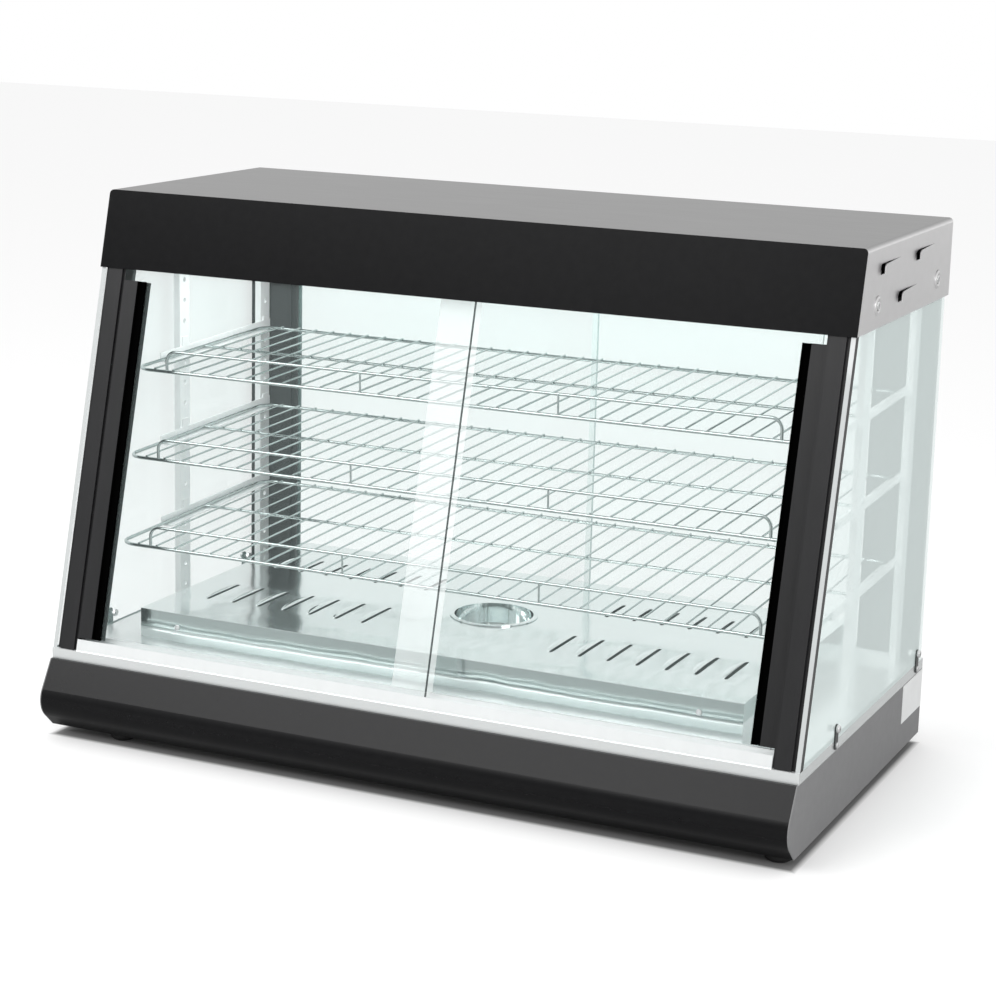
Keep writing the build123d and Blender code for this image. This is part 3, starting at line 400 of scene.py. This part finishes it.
# By the record's material slots
finishes = {
    "black_steel": coated(
        "satin_black_coat", (0.004, 0.004, 0.0045), (0.007, 0.007, 0.0075), (0.20, 0.27),
        grain=900.0, bump=(0.00005, 0.1), specular=0.17,
    ),
    "grey_steel": coated(
        "satin_grey_coat", (0.19, 0.19, 0.193), (0.225, 0.225, 0.228), (0.34, 0.44),
        grain=700.0, bump=(0.00006, 0.1), specular=0.2,
    ),
    "zinc_sheet": coated(
        "galvanised_sheet", (0.42, 0.43, 0.44), (0.62, 0.63, 0.64), (0.35, 0.6),
        metal=1.0, grain=90.0, bump=(0.0001, 0.1),
    ),
    "stainless_sheet": coated(
        "plain_stainless", (0.60, 0.62, 0.62), (0.72, 0.74, 0.74), (0.22, 0.34),
        metal=1.0, grain=420.0, stretch=along_length, bump=(0.00004, 0.15),
    ),
    "deck_steel": coated(
        "bright_stainless", (0.80, 0.86, 0.855), (0.88, 0.93, 0.925), (0.05, 0.12),
        metal=1.0, grain=420.0, stretch=along_length, bump=(0.00004, 0.12),
    ),
    # The hood's top is painted darker than its sides, as shade
    "hood_steel": coated(
        "brushed_hood_steel", (0.90, 0.895, 0.897), (0.97, 0.965, 0.967), (0.30, 0.42),
        metal=1.0, grain=520.0, stretch=along_length, bump=(0.00005, 0.2), top_painted_shade=0.195,
    ),
    "aluminium": coated(
        "clear_anodised", (0.86, 0.885, 0.885), (0.93, 0.955, 0.955), (0.26, 0.36),
        metal=0.45, grain=520.0, stretch=along_height, bump=(0.00004, 0.12),
    ),
    "black_aluminium": coated(
        "black_anodised", (0.015, 0.015, 0.016), (0.023, 0.023, 0.024), (0.28, 0.38),
        grain=620.0, stretch=along_height, bump=(0.00004, 0.12), specular=0.3,
    ),
    "chrome_wire": coated(
        "bright_chrome", (0.46, 0.53, 0.52), (0.62, 0.68, 0.67), (0.08, 0.18),
        metal=1.0, grain=260.0, bump=(0.00003, 0.1),
    ),
    "bright_screws": coated(
        "nickel_plate", (0.62, 0.63, 0.63), (0.74, 0.75, 0.75), (0.16, 0.28),
        metal=0.6, grain=300.0, bump=(0.00003, 0.1),
    ),
    "heater_sheath": coated(
        "heat_stained_sheath", (0.14, 0.11, 0.10), (0.32, 0.29, 0.27), (0.32, 0.5),
        metal=0.9, grain=160.0, bump=(0.00005, 0.2),
    ),
    "rubber": coated(
        "moulded_rubber", (0.010, 0.010, 0.010), (0.022, 0.022, 0.022), (0.62, 0.82),
        grain=500.0, bump=(0.0001, 0.3),
    ),
    "black_plastic": coated(
        "black_moulding", (0.014, 0.014, 0.014), (0.026, 0.026, 0.026), (0.38, 0.52),
        grain=1100.0, bump=(0.00008, 0.3),
    ),
    "white_plastic": coated(
        "white_moulding", (0.68, 0.68, 0.65), (0.78, 0.78, 0.75), (0.36, 0.48),
        grain=700.0, bump=(0.00005, 0.2),
    ),
    "switch_green": coated(
        "green_rocker", (0.01, 0.20, 0.05), (0.02, 0.30, 0.08), (0.16, 0.24),
        grain=300.0, bump=(0.00003, 0.1), coat=0.4,
    ),
    "lens_red": coated(
        "red_lens", (0.42, 0.01, 0.01), (0.58, 0.02, 0.015), (0.08, 0.16),
        grain=300.0, bump=(0.00003, 0.1), coat=0.6,
    ),
    "label_white": coated(
        "blank_foil", (0.74, 0.75, 0.75), (0.82, 0.83, 0.83), (0.26, 0.36),
        grain=400.0, bump=(0.00003, 0.1),
    ),
    "lamp_glass": coated(
        "coated_lamp_glass", (0.84, 0.84, 0.81), (0.90, 0.90, 0.87), (0.12, 0.2),
        grain=200.0, bump=(0.00003, 0.05), coat=0.4,
    ),
    "door_glass": pane("rear_float_glass", rear_tint, rear_body, [plain_edge]),
    "side_glass": pane(
        "side_float_glass", (0.85, 0.96, 0.945), 0.08, side_edges, strips=[side_seal], slant_reflection=1.0,
    ),
}

pan_finish = coated(
    "wavy_stainless", (0.84, 0.89, 0.885), (0.91, 0.95, 0.945), (0.09, 0.15),
    metal=1.0, grain=420.0, stretch=along_length, bump=(0.00004, 0.12), wave=(13.0, 0.0016),
    painted_shade_strip=pan_wall_painted_shade,
)

# Pieces that look unlike the rest of their slot
own_finishes = {
    "front_left_door_glass": pane("front_float_glass", front_tint, front_body, [dark_edge]),
    "front_right_door_glass": pane(
        "lapped_float_glass", front_tint, front_body, [plain_edge], strips=[front_lap_painted_reflection],
    ),
    "rear_right_door_glass": pane(
        "lapped_rear_glass", rear_tint, rear_body, [plain_edge], strips=[rear_lap],
    ),
    # The left side pane is the same glass as the right one, painted darker and deeper teal as
    # shade
    "side_glass_left": pane(
        "shaded_left_float_glass", (0.46, 0.62, 0.60), 0.25, side_edges, slant_reflection=0.25,
    ),
    # The clips are nickel plate like the screws, coloured dark as a painted dark reflection
    "glass_clips": coated(
        "nickel_plate_dark_reflection", (0.06, 0.065, 0.065), (0.11, 0.115, 0.115), (0.2, 0.3),
        metal=1.0, grain=300.0, bump=(0.00003, 0.1),
    ),
    "floor_pan": pan_finish,
    "deck_plate": coated(
        "satin_stainless", (0.80, 0.83, 0.828), (0.88, 0.90, 0.898), (0.20, 0.30),
        metal=0.6, grain=420.0, stretch=along_length, bump=(0.00004, 0.12),
    ),
    "hood_front_fascia": coated(
        "satin_black_hood", (0.004, 0.004, 0.0045), (0.008, 0.008, 0.0085), (0.22, 0.30),
        grain=900.0, bump=(0.00005, 0.1), specular=0.07,
    ),
}
for side, sign in (("left", -1.0), ("right", 1.0)):
    own_finishes[f"front_{side}_door_handle"] = coated(
        f"black_anodised_{side}", (0.015, 0.015, 0.016), (0.023, 0.023, 0.024), (0.28, 0.38),
        grain=620.0, stretch=along_height, bump=(0.00004, 0.12), specular=0.3,
        band=((sign, 0.0, 0.0), 0.0, handle_strip_end),
    )

for part in frame["record"]["subparts"]:
    name = part["node"]
    shown = nodes[name].data
    shown.materials.clear()
    shown.materials.append(own_finishes.get(name, finishes[part["material_slot"]]))


# Formed details

def grid_quads(rows, columns, closed):
    """Corner numbers of a grid's faces; its columns run in a ring, and its rows if closed."""
    i, j = np.meshgrid(np.arange(rows if closed else rows - 1), np.arange(columns), indexing="ij")
    row = i * columns
    next_row = (i + 1) % rows * columns
    next_j = (j + 1) % columns
    corners = (row + j, next_row + j, next_row + next_j, row + next_j)
    return np.stack(corners, axis=-1).reshape(-1, 4)


def finish_piece(name, grids, quads, material):
    """Closed mesh piece of the fixed case, made of like grids, its repeated points merged."""
    points = np.stack(grids).reshape(-1, 3)
    count = len(points) // len(grids)
    faces = np.concatenate([quads + number * count for number in range(len(grids))])
    mesh = bpy.data.meshes.new(name)
    mesh.from_pydata(points.tolist(), [], faces.tolist())
    closed = bmesh.new()
    closed.from_mesh(mesh)
    bmesh.ops.remove_doubles(closed, verts=closed.verts, dist=merge_distance)
    bmesh.ops.recalc_face_normals(closed, faces=closed.faces)
    closed.to_mesh(mesh)
    closed.free()
    mesh.shade_smooth()
    mesh.materials.append(material)
    piece = bpy.data.objects.new(name, mesh)
    bpy.context.scene.collection.objects.link(piece)
    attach(piece, "case")


def make_screw_rims():
    """Raised round rims pressed in the hood's sides round its screws.

    With a round the screw and b round the rim's section, on either side:
    r = radius + width cos b,  y = place + r cos a,  z = height + r sin a,
    x = face + rise max(sin b, 0) + sink min(sin b, 0).
    """
    around = 48
    section = 16
    a = np.linspace(0.0, 2 * np.pi, around, endpoint=False)
    b = np.linspace(0.0, 2 * np.pi, section, endpoint=False)
    a, b = np.meshgrid(a, b, indexing="ij")
    r = rim_radius + rim_width * np.cos(b)
    x = hood_side + rim_rise * np.sin(b).clip(0, 1) + rim_sink * np.sin(b).clip(-1, 0)
    z = hood_screw_height + r * np.sin(a)
    grids = [
        np.stack([side * x, place + r * np.cos(a), z], axis=-1)
        for side in (-1, 1) for place in hood_screw_places
    ]
    quads = grid_quads(around, section, closed=True)
    finish_piece("hood_screw_rims", grids, quads, finishes["hood_steel"])


def make_scoops():
    """A low lip along the left edge of every slot, open towards the slot.

    With a round the section and t along the slot, and s = sin(pi t) ** taper:
    x = edge - s width (1 - cos a) / 2,  y = start + t length,
    z = top + s (height max(sin a, 0) sqrt((1 + cos a) / 2) + sink min(sin a, 0)).
    """
    around = 28
    along = 24
    a = np.linspace(0.0, 2 * np.pi, around, endpoint=False)
    t = np.linspace(0.0, 1.0, along)
    t, a = np.meshgrid(t, a, indexing="ij")
    s = np.sin(np.pi * t).clip(0, 1) ** scoop_taper
    x = -s * scoop_width * (1 - np.cos(a)) / 2
    rise = scoop_height * np.sin(a).clip(0, 1) * np.sqrt((1 + np.cos(a)) / 2)
    z = pan_top + s * (rise + scoop_sink * np.sin(a).clip(-1, 0))
    grids = [
        np.stack([x + place - slot_half_width, low + t * (high - low), z], axis=-1)
        for low, high in slot_runs for place in slot_places
    ]
    quads = grid_quads(along, around, closed=False)
    finish_piece("slot_scoops", grids, quads, pan_finish)


# Floor, sky and lamps

def ray_masks(tree):
    """1 on what the camera sees, straight or through glass, and 1 on what is mirrored."""
    path = tree.nodes.new("ShaderNodeLightPath")
    direct = path.outputs["Is Camera Ray"]
    seen = math_node(tree, "MAXIMUM", direct, path.outputs["Is Transmission Ray"])
    return seen, path.outputs["Is Glossy Ray"]


def past_footprint(tree, place, half):
    """How far a place lies outside the case's footprint, along one axis."""
    return math_node(tree, "SUBTRACT", math_node(tree, "ABSOLUTE", place), half)


def floor_material():
    """Pale matt floor that glows for the camera, with a painted shadow on the case's footprint.
    """
    material, tree, output = new_material("pale_floor")
    coordinates = tree.nodes.new("ShaderNodeTexCoord")
    length = tree.nodes.new("ShaderNodeVectorMath")
    length.operation = "LENGTH"
    tree.links.new(coordinates.outputs["Object"], length.inputs[0])
    distance = length.outputs["Value"]
    lift = ranged(tree, distance, floor_near_lift, floor_far_lift, floor_fade, smooth=True)
    place = coordinate_parts(tree, "Object")
    beside = past_footprint(tree, place["X"], footprint_half_width)
    behind = past_footprint(tree, place["Y"], footprint_half_depth)
    past = math_node(tree, "MAXIMUM", beside, behind)
    # The painted shadow under the case: on the footprint the floor's colour and glow drop
    outside = ranged(tree, past, floor_shadow_glow_share, 1.0, (-footprint_blur, footprint_blur))
    seen, glossy = ray_masks(tree)
    shade = ranged(tree, outside, floor_albedo * floor_painted_shadow_share, floor_albedo)
    mirrored = ranged(tree, glossy, 1.0, floor_mirrored_share)
    matte = tree.nodes.new("ShaderNodeBsdfDiffuse")
    tree.links.new(math_node(tree, "MULTIPLY", shade, mirrored), matte.inputs["Color"])
    glow = tree.nodes.new("ShaderNodeEmission")
    lift = math_node(tree, "MULTIPLY", lift, outside)
    tree.links.new(math_node(tree, "MULTIPLY", seen, lift), glow.inputs["Strength"])
    both = tree.nodes.new("ShaderNodeAddShader")
    tree.links.new(matte.outputs["BSDF"], both.inputs[0])
    tree.links.new(glow.outputs["Emission"], both.inputs[1])
    tree.links.new(both.outputs["Shader"], output.inputs["Surface"])
    return material


def make_floor():
    """Flat floor: a two-parameter sheet (u, v) at z = 0."""
    across = np.linspace(-floor_half, floor_half, 2)
    u, v = np.meshgrid(across, across)
    points = np.stack([u.ravel(), v.ravel(), np.zeros(u.size)], axis=1)
    mesh = bpy.data.meshes.new("floor")
    mesh.from_pydata(points.tolist(), [], [(0, 1, 3, 2)])
    mesh.materials.append(floor_material())
    floor = bpy.data.objects.new("floor", mesh)
    bpy.context.scene.collection.objects.link(floor)


def make_sky():
    """White wherever it is seen, and softer low down in front where it lights."""
    world = bpy.data.worlds.new("studio")
    bpy.context.scene.world = world
    world.use_nodes = True
    tree = world.node_tree
    tree.nodes.clear()
    output = tree.nodes.new("ShaderNodeOutputWorld")
    sky = tree.nodes.new("ShaderNodeBackground")
    sky.inputs["Color"].default_value = (1, 1, 1, 1)
    direction = coordinate_parts(tree, "Generated")
    seen, glossy = ray_masks(tree)
    low = ranged(tree, glossy, sky_low, mirrored_sky_low)
    height = math_node(tree, "ADD", direction["Z"], direction["Y"])
    brightness = ranged(tree, height, low, sky_high, sky_fade, smooth=True)
    tree.links.new(math_node(tree, "MAXIMUM", seen, brightness), sky.inputs["Strength"])
    tree.links.new(sky.outputs["Background"], output.inputs["Surface"])


def soft_lamp(name, place, target, size, power, mirrored=True):
    """Rectangular area lamp at place, facing target."""
    light = bpy.data.lights.new(name, "AREA")
    light.shape = "RECTANGLE"
    light.size, light.size_y = size
    light.energy = power
    lamp = bpy.data.objects.new(name, light)
    bpy.context.scene.collection.objects.link(lamp)
    lamp.location = place
    towards = Vector(target) - Vector(place)
    lamp.rotation_mode = "QUATERNION"
    lamp.rotation_quaternion = towards.to_track_quat("-Z", "Y")
    lamp.visible_camera = False
    lamp.visible_glossy = mirrored


def make_camera():
    """Camera on a sphere round its target, turned about its own line of sight."""
    a, e, r = camera_azimuth, camera_elevation, camera_roll
    back = Vector((sin(a) * cos(e), -cos(a) * cos(e), sin(e)))
    level = (-back).cross(Vector((0, 0, 1))).normalized()
    upward = level.cross(-back)
    right = cos(r) * level + sin(r) * upward
    up = -sin(r) * level + cos(r) * upward
    camera = bpy.data.objects.new("camera", bpy.data.cameras.new("camera"))
    bpy.context.scene.collection.objects.link(camera)
    camera.data.sensor_width = camera_sensor
    camera.data.lens = camera_lens
    turned = Matrix((right, up, back)).transposed().to_4x4()
    place = Vector(camera_target) + back * camera_distance
    camera.matrix_world = Matrix.Translation(place) @ turned
    camera.data.clip_end = camera_reach
    bpy.context.scene.camera = camera


make_scoops()
make_screw_rims()
make_floor()
make_sky()
for lamp_name, lamp_values in lamps.items():
    soft_lamp(lamp_name, **lamp_values)
make_camera()
bpy.context.scene.view_settings.view_transform = "Standard"
